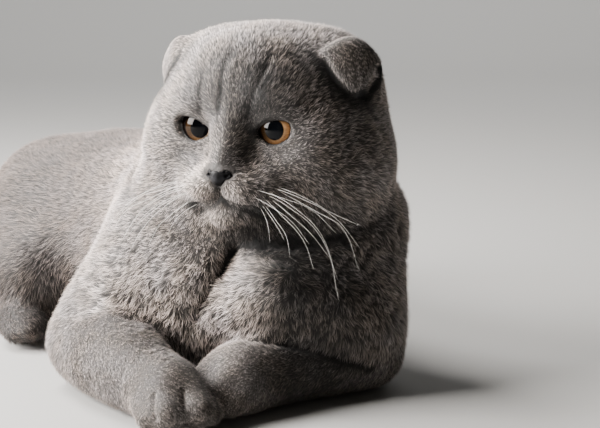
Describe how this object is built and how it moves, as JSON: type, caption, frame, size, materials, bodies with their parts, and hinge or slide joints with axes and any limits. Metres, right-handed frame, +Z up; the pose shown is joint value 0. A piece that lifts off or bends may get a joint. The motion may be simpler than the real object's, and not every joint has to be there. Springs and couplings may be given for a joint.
{
  "type": "scottish fold cat",
  "caption": "Short-haired grey cat with folded ears, life size, lying on its breast with crossed forelegs and its head turned to its right.",
  "frame": {"origin": "on the floor under the middle of the belly, on the flat where the trunk rests", "axes": "+Z up, -Y towards the nose end of the trunk, +X towards the cat's left side"},
  "size_m": [0.2594, 0.4541, 0.2024],
  "materials": {
    "coat": "short dense grey fur",
    "nose_leather": "dark grey, slightly moist",
    "eye": "wet and glossy, amber"
  },
  "bodies": {
    "root": {"head": "coat", "neck": "coat", "torso": "coat", "ear_right": "coat", "ear_left": "coat", "upper_arm_right": "coat", "upper_arm_left": "coat", "thigh_right": "coat", "thigh_left": "coat", "forearm_right": "coat", "forearm_left": "coat", "forepaw_right": "coat", "forepaw_left": "coat", "hind_foot_right": "coat", "hind_foot_left": "coat", "tail_base": "coat", "tail_middle": "coat", "tail_tip": "coat", "nose": "nose_leather", "eye_right": "eye", "eye_left": "eye"}
  },
  "joints": []
}
